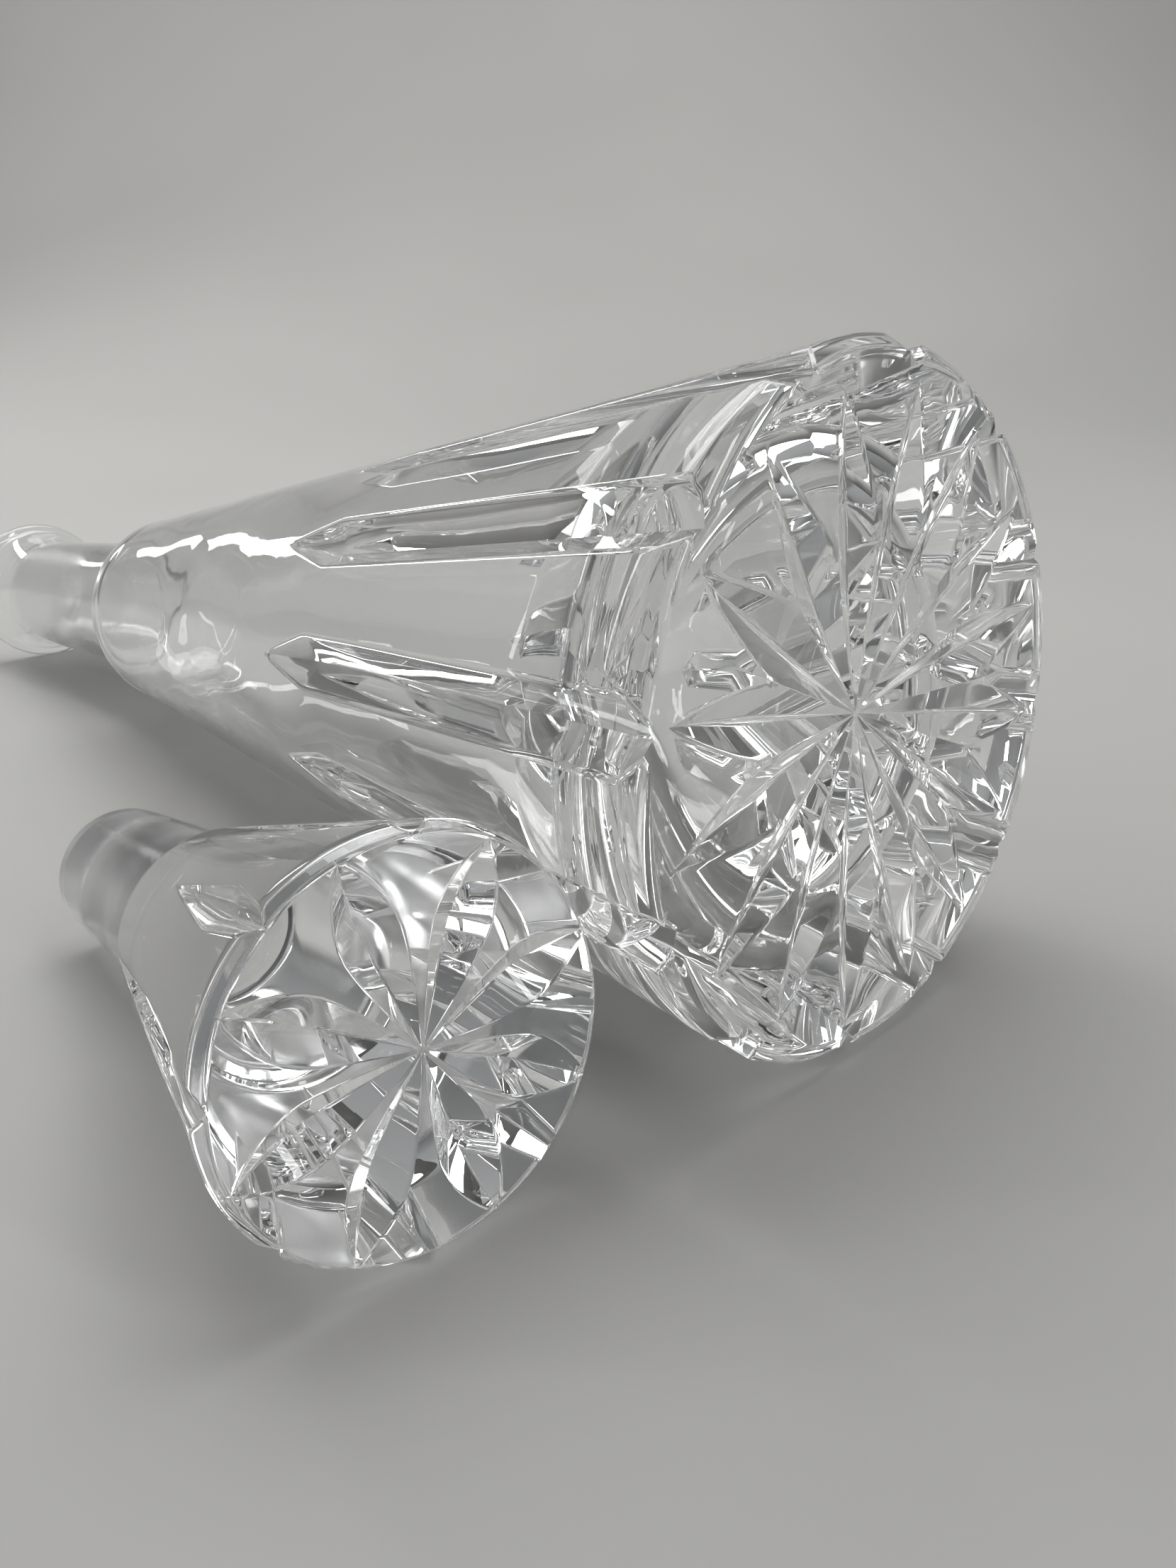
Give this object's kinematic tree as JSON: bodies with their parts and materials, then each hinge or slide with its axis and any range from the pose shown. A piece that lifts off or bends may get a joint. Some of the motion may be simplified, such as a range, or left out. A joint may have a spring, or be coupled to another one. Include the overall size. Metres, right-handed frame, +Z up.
{
  "type": "decanter",
  "caption": "Cut crystal decanter with a conical grooved body, star-cut foot and flared lip, lying beside its solid star-cut stopper.",
  "frame": {"origin": "on the table, under the middle of the pair's bounding box, both pieces lying on their sides", "axes": "+Z up from the table; the decanter's foot faces +X and its neck points towards -X, leaning down to the lip; the stopper lies on the -Y side"},
  "size_m": [0.3434, 0.1607, 0.1079],
  "materials": {
    "crystal_body": "polished clear cut crystal",
    "crystal_stopper": "polished clear cut crystal with a ground plug"
  },
  "bodies": {
    "decanter": {"decanter": "crystal_body"},
    "stopper": {"stopper": "crystal_stopper"}
  },
  "joints": [
    {"name": "stopper_lift", "type": "slide", "parent": "decanter", "child": "stopper", "axis": [0, -0.342, 0.9397], "range_m": [0, 0.15]}
  ]
}
